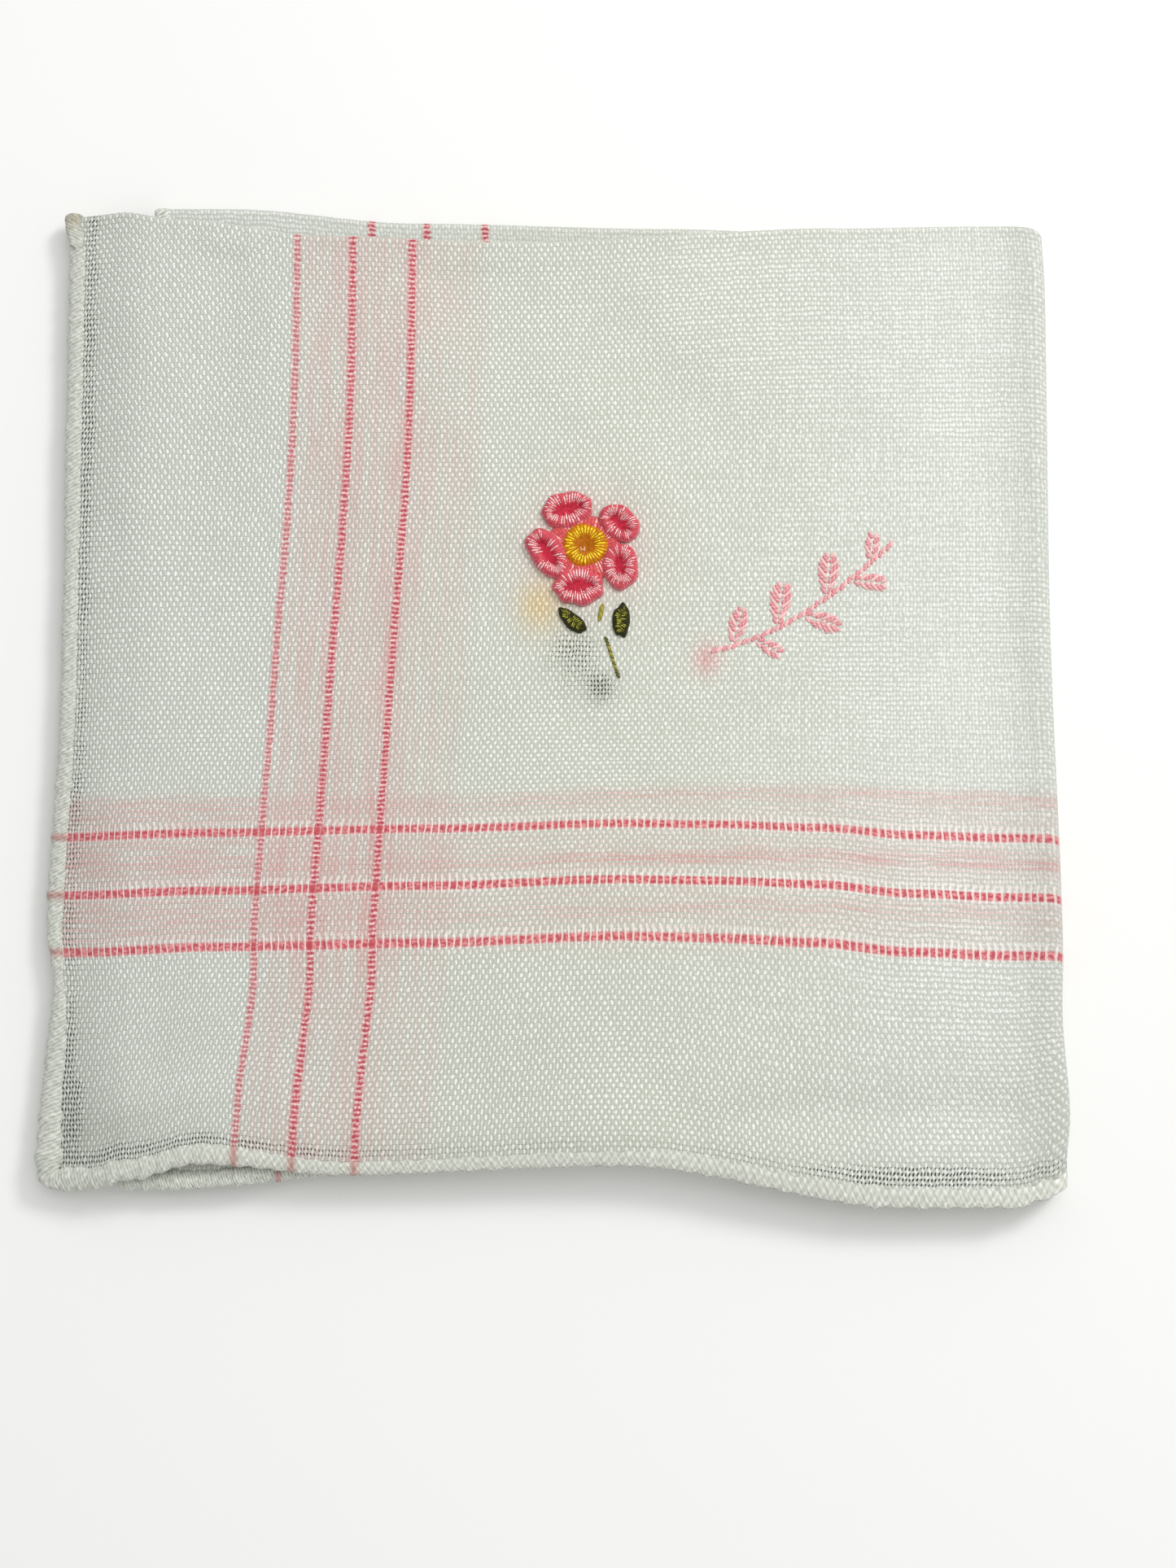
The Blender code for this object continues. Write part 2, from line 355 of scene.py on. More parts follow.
# The highest x and y of the solid in the tables' own coordinates. Its box in the frame matches
# them, which gives the shift to the frame's origin.
halfSolid = 0.5  # half the thickness of the solid
foldReach = cloth["firstFold"] + halfSolid
ownCorner = (cloth["secondFold"] + foldReach + max(cloth["bulge"], key=lambda row: row[1])[1],
             foldReach + max(lowerTop, key=lambda row: row[1])[1])
originShift = np.append(np.array(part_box("handkerchief")[1][:2]) / mm - ownCorner, 0.0)


# The place on the flat cloth that lies at a place of the top quarter, found by eight corrections.
def clothUnder(x, y):
    across, along = x - originShift[0], y - originShift[1]
    for _ in range(8):
        found = foldCloth(across, along) + originShift
        across, along = across + x - found[..., 0], along + y - found[..., 1]
    return across, along


# Height of the top quarter's upper face at a place in the frame.
def topHeight(x, y):
    across, along = clothUnder(x, y)
    return foldCloth(across, along)[..., 2] + relief(x, y, across, along) + cloth["thick"] / 2


# Puts vertices and four-cornered faces into a new mesh object. Maps hold a pair for each corner.
def putMesh(name, points, faces, maps=None, attributes=None):
    mesh = bpy.data.meshes.new(name)
    mesh.vertices.add(len(points))
    mesh.vertices.foreach_set("co", np.ascontiguousarray(points, np.float32).ravel())
    mesh.loops.add(faces.size)
    mesh.loops.foreach_set("vertex_index", faces.astype(np.int32).ravel())
    mesh.polygons.add(len(faces))
    mesh.polygons.foreach_set("loop_start", np.arange(0, faces.size, 4, dtype=np.int32))
    for layer, pairs in (maps or {}).items():
        uv = mesh.uv_layers.new(name=layer)
        uv.uv.foreach_set("vector", np.ascontiguousarray(pairs, np.float32).ravel())
    for layer, values in (attributes or {}).items():
        made = mesh.attributes.new(layer, "FLOAT_COLOR", "POINT")
        made.data.foreach_set("color", np.ascontiguousarray(values, np.float32).ravel())
    mesh.update(calc_edges=True)
    mesh.validate()
    mesh.shade_smooth()
    return putObject(name, mesh)


# Faces of a grid of vertex numbers, and for each corner the values of its row and its column. A side
# that has one value more than the grid has numbers closes on itself.
def gridFaces(index, rows, columns):
    at = index[np.ix_(np.arange(len(rows)) % len(index), np.arange(len(columns)) % index.shape[1])]
    faces = np.stack([at[:-1, :-1], at[1:, :-1], at[1:, 1:], at[:-1, 1:]], -1).reshape(-1, 4)
    row = np.stack([rows[:-1], rows[1:], rows[1:], rows[:-1]], -1)[:, None]
    column = np.stack([columns[:-1], columns[:-1], columns[1:], columns[1:]], -1)
    return faces, np.stack(np.broadcast_arrays(row, column), -1).reshape(-1, 2)


# Gives a piece its material and body.
def finishPiece(piece, material):
    piece.data.materials.append(material)
    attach(piece, "root")


# Soft tints of the top face. Pink shows through from the stripes of the layers below, which lie a
# little to the right of the top ones, as place, half width, strength. Spots are x, y, half width,
# half height, strength, colour.
tints = dict(
    ground="#D9DCD0",
    pink="#D78A86",
    # grey is the colour of the painted shade.
    grey="#868C7A",
    rightOfStripes=((-31.0, 1.1, 0.11), (-23.2, 1.3, 0.13), (-13.2, 1.2, 0.05)),
    ghostRows=((-16.2, 0.9, 0.27), (-25.0, 0.9, 0.30), (-32.0, 0.8, 0.15)),
    spots=(
        (-2.4, 11.4, 3.0, 3.6, 0.55, "#E4C268"),
        (4.0, 19.8, 8.4, 8.0, 0.34, "#E9A7A4"),
        # The next two grey spots darken the cloth below the flower.
        (2.2, 4.6, 3.2, 4.6, 0.20, "#8E957F"),
        (6.1, -0.4, 1.9, 2.0, 0.42, "#7A8170"),
        (20.9, 3.9, 1.7, 2.2, 0.60, "#E58F92"),
        # The last two grey spots are painted shade in the creases at the lower left corner.
        (-66.8, -60.0, 6.0, 9.0, 0.22, "#84887B"),
        (-60.0, -61.5, 14.0, 3.2, 0.16, "#84887B"),
    ),
    # How open the weave is beside the hems, by the distance from the fold that crosses the hem.
    openBySide=(
        (0, 0.8), (33, 0.9), (42, 0.6), (70, 0.5), (108, 0.4), (116, 0.4), (123, 1.1), (133, 1.3), (137, 1.3),
    ),
    openByEnd=(
        (0, 0.45), (5, 0.6), (10, 0.7), (13, 1.05), (23, 1.1), (28, 0.8), (34, 0.4), (60, 0.1), (64, 0.3),
        (90, 0.3), (97, 0.7), (108, 0.75), (112, 1.0), (118, 0.7), (126, 0.9), (141, 1.05),
    ),
    openWidth=((0, 1.3), (27, 1.3), (34, 0.7), (108, 0.7), (122, 1.3), (141, 1.5)),
)


# Colours for the vertices of the outer side, with how open the weave is as the fourth value, and how
# much pink shows through in upright and in level streaks.
def paintCloth(across, along, x, y):
    onTop = (across < 0) & (along < 0)
    down = -along
    side, end = fromHems(across, along)
    colour = np.ones((len(x), 4))
    ground = np.array(linear(tints["ground"])[:3])

    # Moves the top quarter's colour towards another one: for the tints that show through, and for painted
    # shade.
    def tintAndShade(strength, hexColour):
        share = np.clip(np.where(onTop, strength, 0), 0, 1)[:, None]
        colour[:, :3] *= 1 - share + share * np.array(linear(hexColour)[:3]) / ground

    # Between the stripes the pink is even, with a blurred line for each stripe of the layer below.
    leaning = x - runs(cloth["lean"], down, 8.0)
    upright = 0.18 * band(leaning, -38.0, -19.5, 4.0) + 0.12 * band(leaning, -19.5, -13.5, 6.0)
    for at, half, strength in tints["rightOfStripes"]:
        upright = upright + strength * bell(leaning, at, half)
    upright = upright * (1 - 0.2 * eased((down - 108) / 10.0))
    bowed = y - 1.3 * np.sin(math.pi * np.clip((x + 14) / 84, 0, 1))
    row = (0.11 + 0.12 * eased((-30.0 - x) / 20.0)) * band(y, -36.5, -16.0, 3.0)
    right = 0.35 + 0.65 * eased((x + 20.0) / 30.0)
    for at, half, strength in tints["ghostRows"]:
        row = row + strength * right * bell(bowed, at, half)
    ghost = np.zeros((len(x), 4))
    ghost[:, 0], ghost[:, 1] = np.where(onTop, upright, 0), np.where(onTop, row, 0)
    for atX, atY, halfX, halfY, strength, hexColour in tints["spots"]:
        tintAndShade(strength * spot(x, y, atX, atY, halfX, halfY), hexColour)
    # Painted shade greys the cloth towards its hems and its left side.
    tintAndShade(0.17 * bell(side, 0, 4.2) + 0.10 * np.exp(-side / 30.0), tints["grey"])
    tintAndShade(0.22 * bell(end, 0, 4.2) + 0.05 * np.exp(-end / 20.0), tints["grey"])
    # Painted light makes it paler by the second fold, where its back layers lie close under it, and it is
    # cooler away from the middle.
    colour[:, :3] *= 1 + 0.04 * (spot(x, y, 62.0, 18.0, 24.0, 60.0) * onTop)[:, None]
    colour[:, 2] *= 1.045 - 0.045 * spot(x, y, 12.0, 0.0, 38.0, 200.0)
    # Painted shade greys it along the first fold and the second fold, where the cloth turns down.
    tintAndShade(0.10 * bell(down, 0, 2.0) + 0.26 * bell(across, 0, 6.0), tints["grey"])
    # Shade in the slit between the two folds at the top, and on the lower fold beneath it.
    slit = bell(along, 1.3, 0.8) * (across < -50) * eased((-across - 50) / 30.0)
    colour[:, :3] *= 1 - 0.45 * slit[:, None]
    beneath = 0.12 * (across > 3) * bell(along, 0, 6.0)
    colour[:, :3] *= 1 - beneath[:, None]

    # Open weave beside the hems, where needle and thread pulled the yarns apart.
    wideSide = np.where(down > 122, 1.8, 0.95)
    wideEnd = runs(tints["openWidth"], -across, 2.0)
    bySide = runs(tints["openBySide"], down, 2.0) * bell(side - 2.4, wideSide, wideSide)
    byEnd = runs(tints["openByEnd"], -across, 1.5) * bell(end - 2.5, wideEnd, wideEnd)
    opened = np.maximum(bySide + 0.16 * bell(side, 4.0, 4.0), byEnd)
    opened = opened + 1.2 * spot(x, y, 6.1, -0.4, 1.5, 1.7) + 0.80 * spot(x, y, 2.4, 4.2, 2.8, 4.0)
    opened = opened + 0.12 + 0.5 * (upright + row)
    colour[:, 3] = np.clip(np.where(onTop, opened, 0), 0, 1)
    return colour, ghost


print("tables ready")


# Troughs of the creases at the place x, y: each is a bell across its line, and fades out past the
# line's ends in the same way.
def trough(x, y):
    drop = np.zeros_like(x)
    for start, end, half, depth in creases:
        start, end = np.array(start), np.array(end)
        length = np.hypot(*(end - start))
        fromStart, onward = np.stack([x, y], -1) - start, unit(end - start)
        share, away = fromStart @ onward, fromStart @ leftOf(onward)
        past = np.maximum(np.maximum(-share, share - length), 0.0) / (half * 1.6)
        bend = 0.25 * half * np.sin(share / length * 5.0)
        drop = drop - depth * bell(away, bend, half) * bell(past, 0, 1)
    return drop


# Small puckers that the tight stitches of the flower pull into the top quarter: rays round it, at
# the place x, y, that die out in a centimetre.
def pucker(x, y):
    awayX, awayY = x - 3.9, y - 19.5
    rays = np.sin(9 * np.arctan2(awayY, awayX) + 0.8) + 0.6 * np.sin(5 * np.arctan2(awayY, awayX))
    return 0.10 * rays * bell(np.hypot(awayX, awayY), 9.5, 3.0)


# Troughs and puckers together, on the top quarter up to a little short of its folds.
def relief(x, y, across, along):
    return np.where((across < -4) & (along < -4), pucker(x, y) + trough(x, y), 0.0)


# A flat layout without overlaps, as pairs for the corners of the outer faces, the inner ones and the
# rim. The quarter on top gets the largest part of the square.
def bakeLayout(outer, rimFaces):
    low, high = outer.min((0, 1)), outer.max((0, 1))
    right, back = (outer.mean(1) > 0).T
    pairs = (outer - low) / -low * 0.70
    upper = (outer - (low[0], 0)) / (-low[0], high[1]) * (0.70, 0.29) + (0, 0.705)
    aside = (outer - (0, low[1])) / (high[0], high[1] - low[1]) * (0.29, 0.495) + (0.705, 0)
    pairs[back], pairs[right] = upper[back], aside[right]
    inner = (outer[:, ::-1] - low) / (high - low) * (0.29, 0.48) + (0.705, 0.505)
    steps = np.arange(rimFaces) / rimFaces
    following = steps + 1 / rimFaces
    strip = np.stack([np.stack([following, steps, steps, following], -1) * 0.99,
                      np.broadcast_to((0.9965, 0.9965, 0.999, 0.999), (rimFaces, 4))], -1)
    return np.concatenate([pairs, inner, strip]).reshape(-1, 2)


# The cloth: one closed thin sheet on the folds of its solid. The outer and the inner face lie half
# the thickness each side of the middle surface, along its normal.
def makeCloth():
    rows = gridLines(-cloth["leftWidth"], cloth["secondFold"], cloth["rightWidth"], cloth["acrossFaces"])
    columns = gridLines(-cloth["frontHeight"], cloth["firstFold"], cloth["backHeight"], cloth["alongFaces"])
    across, along = np.meshgrid(rows, columns, indexing="ij")
    middle = foldCloth(across, along) + originShift
    middle[..., 2] += relief(middle[..., 0], middle[..., 1], across, along)
    offset = clothNormal(across, along) * cloth["thick"] / 2
    points = np.concatenate([(middle + offset).reshape(-1, 3), (middle - offset).reshape(-1, 3)])
    count = across.size
    index = np.arange(count).reshape(across.shape)
    cell, corners = gridFaces(index, rows, columns)
    edge = np.concatenate([index[:-1, 0], index[-1, :-1], index[:0:-1, -1], index[0, :0:-1]])
    following = np.roll(edge, -1)
    rim = np.stack([following, edge, edge + count, following + count], -1)
    faces = np.concatenate([cell, cell[:, ::-1] + count, rim])
    colour, ghost = np.ones((2 * count, 4)), np.zeros((2 * count, 4))
    colour[:, 3] = 0.0
    flat = np.stack([across.ravel(), along.ravel()], -1)
    colour[:count], ghost[:count] = paintCloth(*flat.T, *points[:count, :2].T)
    clothMap = np.tile(flat / mapSpan + 0.5, (2, 1))[faces.ravel()]
    return putMesh("folded_cloth", points * mm, faces,
                   maps={"clothMap": clothMap, "OFBake": bakeLayout(corners.reshape(-1, 4, 2), len(rim))},
                   attributes={"paint": colour, "ghost": ghost})


# Cotton lawn: a plain weave of fine unmercerised yarn, matt, with painted glints on the crowns of the upright
# threads and pin holes between them painted dark as shade. Three corded stripes near each hem have pink yarn.
weave = dict(
    across=0.47,        # mm between upright threads
    along=0.71,         # mm between level threads, which lie further apart
    stripes=(31.5, 39.4, 47.9),   # mm from each hem
    stripeHalf=0.52,
    barPitch=0.96,      # mm between the white bars that cross a level stripe
)


# Black and white by the distance from a hem: white on each stripe.
def stripeRamp(add, distance, half, soft):
    reach = 60.0
    edges = ((-half - soft, "#000000"), (-half, "#FFFFFF"), (half, "#FFFFFF"), (half + soft, "#000000"))
    stops = [((at + out) / reach, grey) for at in weave["stripes"] for out, grey in edges]
    ramp = add("ValToRGB", add("MULTIPLY", distance, 1 / reach))
    return fillRamp(ramp, [(0.0, "#000000"), *stops, (1.0, "#000000")])


def cottonLawn():
    material, add, shader = newMaterial("cotton_lawn_plain_weave", {
        "Roughness": 0.82, "IOR": 1.5, "Specular IOR Level": 0.35, "Sheen Weight": 0.2, "Sheen Roughness": 0.6,
    })
    centred = add("VectorMath SUBTRACT", add("UVMap", uv_map="clothMap"), (0.5, 0.5, 0))
    flat = add("VectorMath MULTIPLY", centred, (mapSpan, mapSpan, 0))
    across, along = add("SeparateXYZ", flat).outputs[:2]

    # Noise drawn out by its scales across and along, and spread over a range where one is given.
    def streaks(scales, detail, *spread):
        drawn = add("VectorMath MULTIPLY", flat, (*scales, 0))
        noise = add("TexNoise", drawn, 1.0, detail, noise_dimensions="2D")
        return add("MapRange", noise, *spread) if spread else noise

    # Yarns wander by up to a quarter of a millimetre, so that the rows aren't ruled.
    wander = add("VectorMath SUBTRACT", streaks((0.45, 0.45), 2.0).outputs["Color"], (0.5, 0.5, 0))
    wander = add("VectorMath MULTIPLY_ADD", wander, (0.5, 0.5, 0), flat)
    phase = add("VectorMath MULTIPLY", wander, (math.pi / weave["across"], math.pi / weave["along"], 0))
    phaseAcross, phaseAlong = add("SeparateXYZ", phase).outputs[:2]
    # The crowns of the upright threads lean back near the first fold, most on the left, and near the
    # lower hem on to the left and back to the right. By the second fold rows and ribs show more.
    upper = add("MULTIPLY", add("MapRange", across, -130.0, -85.0, -0.42, -0.16),
                add("MapRange", along, -75.0, -20.0))
    lower = add("MULTIPLY", add("MapRange", across, -90.0, -8.0, 0.2, -0.36),
                add("MapRange", along, -75.0, -115.0))
    calm = add("ADD", add("MapRange", across, -100.0, -15.0, 0.05, 0.95),
               add("MapRange", along, -125.0, -95.0, -0.3, 0.0), use_clamp=True)
    rungs = add("SINE", add("MULTIPLY", phaseAlong, 2.0))
    acrossWave = add("SINE", add("MULTIPLY_ADD", rungs, add("ADD", upper, lower), phaseAcross))
    alongWave = add("SINE", phaseAlong)
    acrossCrest, alongCrest = add("ABSOLUTE", acrossWave), add("ABSOLUTE", alongWave)

    # Over is 1 on the crown of an upright thread, -1 on the crown of a level one. An upright crown
    # is long and narrow.
    longer = add("Clamp", add("MULTIPLY", alongWave, 1.8), -1.0, 1.0)
    over = add("MULTIPLY", add("MULTIPLY", acrossWave, longer), add("POWER", acrossCrest, 2.6))
    tone = add("MULTIPLY_ADD", over, add("MULTIPLY_ADD", calm, -0.36, 0.46),
               add("MULTIPLY_ADD", calm, 0.09, 0.5))
    yarn = add("ADD", streaks((1.3, 0.10), 2.0), streaks((0.09, 1.1), 2.0))
    for more in (add("MapRange", yarn, 0.75, 1.25, -0.045, 0.045),
                 streaks((2.3, 1.7), 1.0, 0.35, 0.65, -0.09, 0.09)):
        tone = add("ADD", tone, more)
    # In some places the level threads stand out as ribs, and the upright ones a little as cords, by painted
    # highlights on their crests and painted shade between them.
    ribShare = add("MULTIPLY_ADD", calm, 0.14, streaks((0.03, 0.03), 1.0, 0.45, 0.65, 0.04, 0.26))
    for crest, share in ((alongCrest, ribShare), (acrossCrest, add("MULTIPLY_ADD", calm, 0.16, 0.12))):
        tone = add("MULTIPLY_ADD", add("SUBTRACT", crest, 0.64), share, tone)
    # The ramp paints the upright crowns near white as highlights, and the dips between the threads grey as
    # shade.
    ground = fillRamp(add("ValToRGB", tone), (
        (0.0, "#D3D6C9"), (0.28, "#C6CABC"), (0.48, "#B9BDAF"), (0.66, "#DDE0D5"), (0.9, "#FDFCF5")))
    ground = add("Mix RGBA", add("MULTIPLY_ADD", calm, 0.27, 0.02), ground, "#E0E3D8")

    # Pin holes where neither thread runs, painted near black as the shade inside them. Open weave has larger
    # and darker ones, taller than wide.
    # The yarns by the hems were pulled apart here more and there less.
    painted = add("Attribute", attribute_name="paint")
    uneven = streaks((0.23, 0.27), 2.0, 0.35, 0.65, 0.8, 1.3)
    opened = add("MULTIPLY", painted.outputs["Alpha"], uneven, use_clamp=True)
    gaps = []
    for crest, more, least in ((acrossCrest, 0.50, 0.24), (alongCrest, 0.60, 0.28)):
        gap = add("SUBTRACT", add("MULTIPLY_ADD", opened, more, least), crest)
        gaps.append(add("MULTIPLY", gap, 4.0, use_clamp=True))
    depth = add("MULTIPLY_ADD", opened, 1.4, 0.12, use_clamp=True)
    hole = add("MULTIPLY", add("MULTIPLY", *gaps), depth)
    ground = add("Mix RGBA", hole, ground, "#2E2E2A")

    # Distances from the side hems and the end hems.
    fromSide, fromEnd = (
        add("MINIMUM", add("ADD", place, cloth[low]), add("SUBTRACT", cloth[high], place))
        for place, low, high in ((across, "leftWidth", "rightWidth"), (along, "frontHeight", "backHeight")))

    # Upright stripes: a cord of pink yarn with a ragged edge, mottled by pale fibres, and crossed by
    # paler rungs where the weft lies over it. The first one is fainter.
    fromSide = add("ADD", fromSide, streaks((1.6, 2.4), 2.0, 0.3, 0.7, -0.18, 0.18))
    uprightMask = add("MULTIPLY", stripeRamp(add, fromSide, weave["stripeHalf"] - 0.12, 0.22),
                  add("MapRange", across, -106.0, -103.0, 0.8, 1.0))
    mottle = add("MULTIPLY_ADD", rungs, 0.3, streaks((2.9, 1.9), 2.0, 0.3, 0.7, 0.26, 0.74))
    uprightPink = fillRamp(add("ValToRGB", mottle), (
        (0.12, "#B2404D"), (0.4, "#C75E68"), (0.66, "#E2A09D"), (0.95, "#F8DCD5")))

    # Level stripes: pink weft, crossed by thin white bars that reach out of it.
    bars = add("SINE", add("MULTIPLY", add("SeparateXYZ", wander), 2 * math.pi / weave["barPitch"]))
    bars = add("ADD", bars, add("MapRange", across, -120.0, -15.0, -0.02, 0.22))
    bars = add("MapRange", bars, 0.64, 0.95)
    levelMask = stripeRamp(add, fromEnd, weave["stripeHalf"] + 0.02, 0.12)
    frayed = stripeRamp(add, add("SUBTRACT", fromEnd, 0.25), weave["stripeHalf"] + 0.40, 0.70)
    levelPink = fillRamp(add("ValToRGB", streaks((1.4, 2.2), 2.0)), (
        (0.30, "#BC4B56"), (0.5, "#CE6068"), (0.66, "#E89A97")))
    levelPink = add("Mix RGBA", add("MULTIPLY", bars, 0.9), levelPink, "#F3DAD0")

    # Pink of the layers below, in streaks along their threads.
    shown = add("SeparateXYZ", add("Attribute", attribute_name="ghost").outputs["Vector"]).outputs
    showing = 0.0
    for amount, scales, crest, gain, least in (
            (shown[0], (1.5, 0.07), acrossCrest, 0.7, 0.55), (shown[1], (0.13, 2.8), alongCrest, 0.9, 0.42)):
        streak = add("MULTIPLY", streaks(scales, 2.0, 0.35, 0.65, 0.45, 1.55),
                     add("MULTIPLY_ADD", crest, gain, least))
        showing = add("MULTIPLY_ADD", amount, streak, showing, use_clamp=True)
    colour = add("Mix RGBA", showing, ground, tints["pink"])
    crossing = add("MULTIPLY", add("MULTIPLY", uprightMask, levelMask), 0.75)
    for share, laid in ((add("MULTIPLY", add("MULTIPLY", bars, frayed), 0.85), "#F6F1E6"),
                        (uprightMask, uprightPink), (levelMask, levelPink), (crossing, "#C4444F")):
        colour = add("Mix RGBA", share, colour, laid)
    # The paint attribute multiplies in the tints and the painted shade and light of the top quarter.
    feed(shader.inputs["Base Color"], add("Mix RGBA", 1.0, colour, painted, blend_type="MULTIPLY"))
    height = add("MULTIPLY_ADD", hole, -1.0, add("ABSOLUTE", over))
    feed(shader.inputs["Normal"], add("Bump", 0.5, 0.00010, None, height))
    return material


folded = makeCloth()
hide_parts("handkerchief")
finishPiece(folded, cottonLawn())
print("cloth folded")

# The rolled hem: the cloth's edge, wrapped on the slant by a fine thread that pulls it into scallops.
roll = dict(
    width=2.7,
    height=1.5,
    station=0.42,       # mm between rings of vertices
    ring=12,
    girth=6.6,          # mm round it
    threadPitch=0.52,   # mm between turns of the thread
    weftPitch=0.62,     # mm between level threads in the rolled cloth
    scallopPitch=2.7,
    scallopDepth=0.2,
    cornerRadius=1.6,
    pressedReach=9.0,
    pressedShare=0.45,
    curl=0.9,           # how far the roll's end at the first fold bends out
    # Shares of the width and the height down the left hem of the top quarter, by the distance from
    # the first fold. It is pinched at one place, and the lower end is a fat coil.
    leftWidth=(
        (0, 0.85), (5, 0.95), (100, 0.9), (107, 0.75), (109.5, 0.55), (113, 0.95), (122, 1.2), (137, 1.45),
    ),
    leftHeight=(
        (0, 1.05), (6, 0.85), (100, 0.8), (107, 0.7), (109.5, 0.45), (113, 1.0), (122, 1.15), (137, 1.25),
    ),
    # The same along its lower hem, by the distance from the second fold.
    lowWidth=(
        (0, 1.05), (6, 1.15), (20, 1.25), (45, 1.1), (60, 0.85), (95, 0.8), (104, 0.9), (110, 1.05),
        (125, 1.1), (141, 1.25),
    ),
    lowHeight=((0, 0.42), (20, 0.48), (57, 0.42), (95, 0.5), (104, 0.6), (112, 0.75), (125, 0.9), (141, 1.2)),
)


# A closed tube round the whole edge of the cloth. Its path is the flat edge, carried round the
# folds, and each ring is an ellipse in the plane of the outward direction and the cloth's normal.
def makeHem():
    inset = roll["width"] / 2
    leftEdge, lowEdge = inset - cloth["leftWidth"], inset - cloth["frontHeight"]
    rightEdge, highEdge = cloth["rightWidth"] - inset, cloth["backHeight"] - inset
    radius = roll["cornerRadius"]
    path = []
    for atX, atY, start in ((leftEdge, lowEdge, 180), (rightEdge, lowEdge, 270),
                            (rightEdge, highEdge, 0), (leftEdge, highEdge, 90)):
        middleX = atX + radius * (1 if atX == leftEdge else -1)
        middleY = atY + radius * (1 if atY == lowEdge else -1)
        turn = np.radians(start + np.linspace(0, 90, 7))
        path.append(np.stack([middleX + radius * np.cos(turn), middleY + radius * np.sin(turn)], -1))
    path = np.concatenate([*path, path[0][:1]])
    length, findPoints = measureLine(path)
    count = int(length / roll["station"])
    place = np.linspace(0, length, count, endpoint=False)
    flat = findPoints(place)
    outward = -leftOf(unit(np.roll(flat, -1, 0) - np.roll(flat, 1, 0)))

    across, along = flat.T
    side, end = fromHems(across, along)
    fromFold = np.where(side < end, abs(along), abs(across))
    size = 1 - roll["pressedShare"] * bell(fromFold, 0, roll["pressedReach"])
    wide, tall = np.ones(count), size
    left = (along < 0) & (across < 0) & (side < end)
    lower = (along < 0) & (across < 0) & (side >= end)
    for here, down, table in ((left, -along, "left"), (lower, -across, "low")):
        wide = np.where(here, runs(roll[table + "Width"], down, 1.0), wide)
        tall = np.where(here, runs(roll[table + "Height"], down, 1.0), tall)
    lobe = place / roll["scallopPitch"] + 0.35 * np.sin(place / 7.3)
    lobes = abs(np.sin(math.pi * lobe)) - 0.6
    random = np.random.default_rng(5).normal(size=count // 3)
    knob = 1 + 0.05 * np.interp(place, np.linspace(0, length, len(random)), random)
    wide = wide * knob * (1 + roll["scallopDepth"] * lobes)
    tall = tall * knob * (1 + 0.6 * roll["scallopDepth"] * lobes)

    centre = foldCloth(across, along)
    centre[:, 0] -= roll["curl"] * bell(along, -1.0, 2.5) * (across < 0)
    reach = unit(foldCloth(*(flat + outward * 0.05).T) - centre)
    normal = clothNormal(across, along)
    # The lowest quarter rests on its underside, so its roll stands up from the table.
    lowest = (across > 0) & (along < 0)
    centre[:, 2] += np.where(lowest, tall * roll["height"] / 2 - 0.5, 0.0)
    angle = np.linspace(0, 2 * math.pi, roll["ring"], endpoint=False)
    aside = (wide * roll["width"] / 2)[:, None] * np.cos(angle)
    above = (tall * roll["height"] / 2)[:, None] * np.sin(angle)
    points = centre[:, None] + reach[:, None] * aside[..., None] + normal[:, None] * above[..., None]
    points[..., 2] = np.maximum(points[..., 2], 0.02)

    index = np.arange(count * roll["ring"]).reshape(count, roll["ring"])
    rows = np.arange(count + 1) * (length / count / mapSpan)
    faces, pairs = gridFaces(index, rows, np.arange(roll["ring"] + 1) / roll["ring"])
    # Painted shade makes the roll darker down the left hem and along the lower hem up to near the second fold,
    # where it is a little paler. Its curled end by the first fold is brownish grey.
    grey = 1 - 0.08 * left - lower * (0.07 - 0.10 * eased(1 + across / 40.0))
    curled = bell(along, 0, 2.4) * left
    colour = np.ones((count, 4))
    for k, shade in enumerate((0.62, 0.55, 0.46)):
        colour[:, k] = grey * (1 - curled) + shade * curled
    # The cloth's stripes run on over the roll.
    for at in weave["stripes"]:
        pinkness = 0.75 * bell(np.where(side < end, end, side), at, 0.55)[:, None]
        colour[:, :3] *= 1 - pinkness + pinkness * np.array(linear("#E2868A")[:3])
    # How much of the slanting thread shows: the low, wide part of the hem is nearly plain.
    colour[:, 3] = 1 - 0.35 * left - lower * (0.45 + 0.45 * eased((125 + across) / 15.0))
    colour = np.repeat(colour, roll["ring"], 0)
    return putMesh("rolled_hem", (points.reshape(-1, 3) + originShift) * mm, faces,
                   maps={"rollMap": pairs}, attributes={"paint": colour})
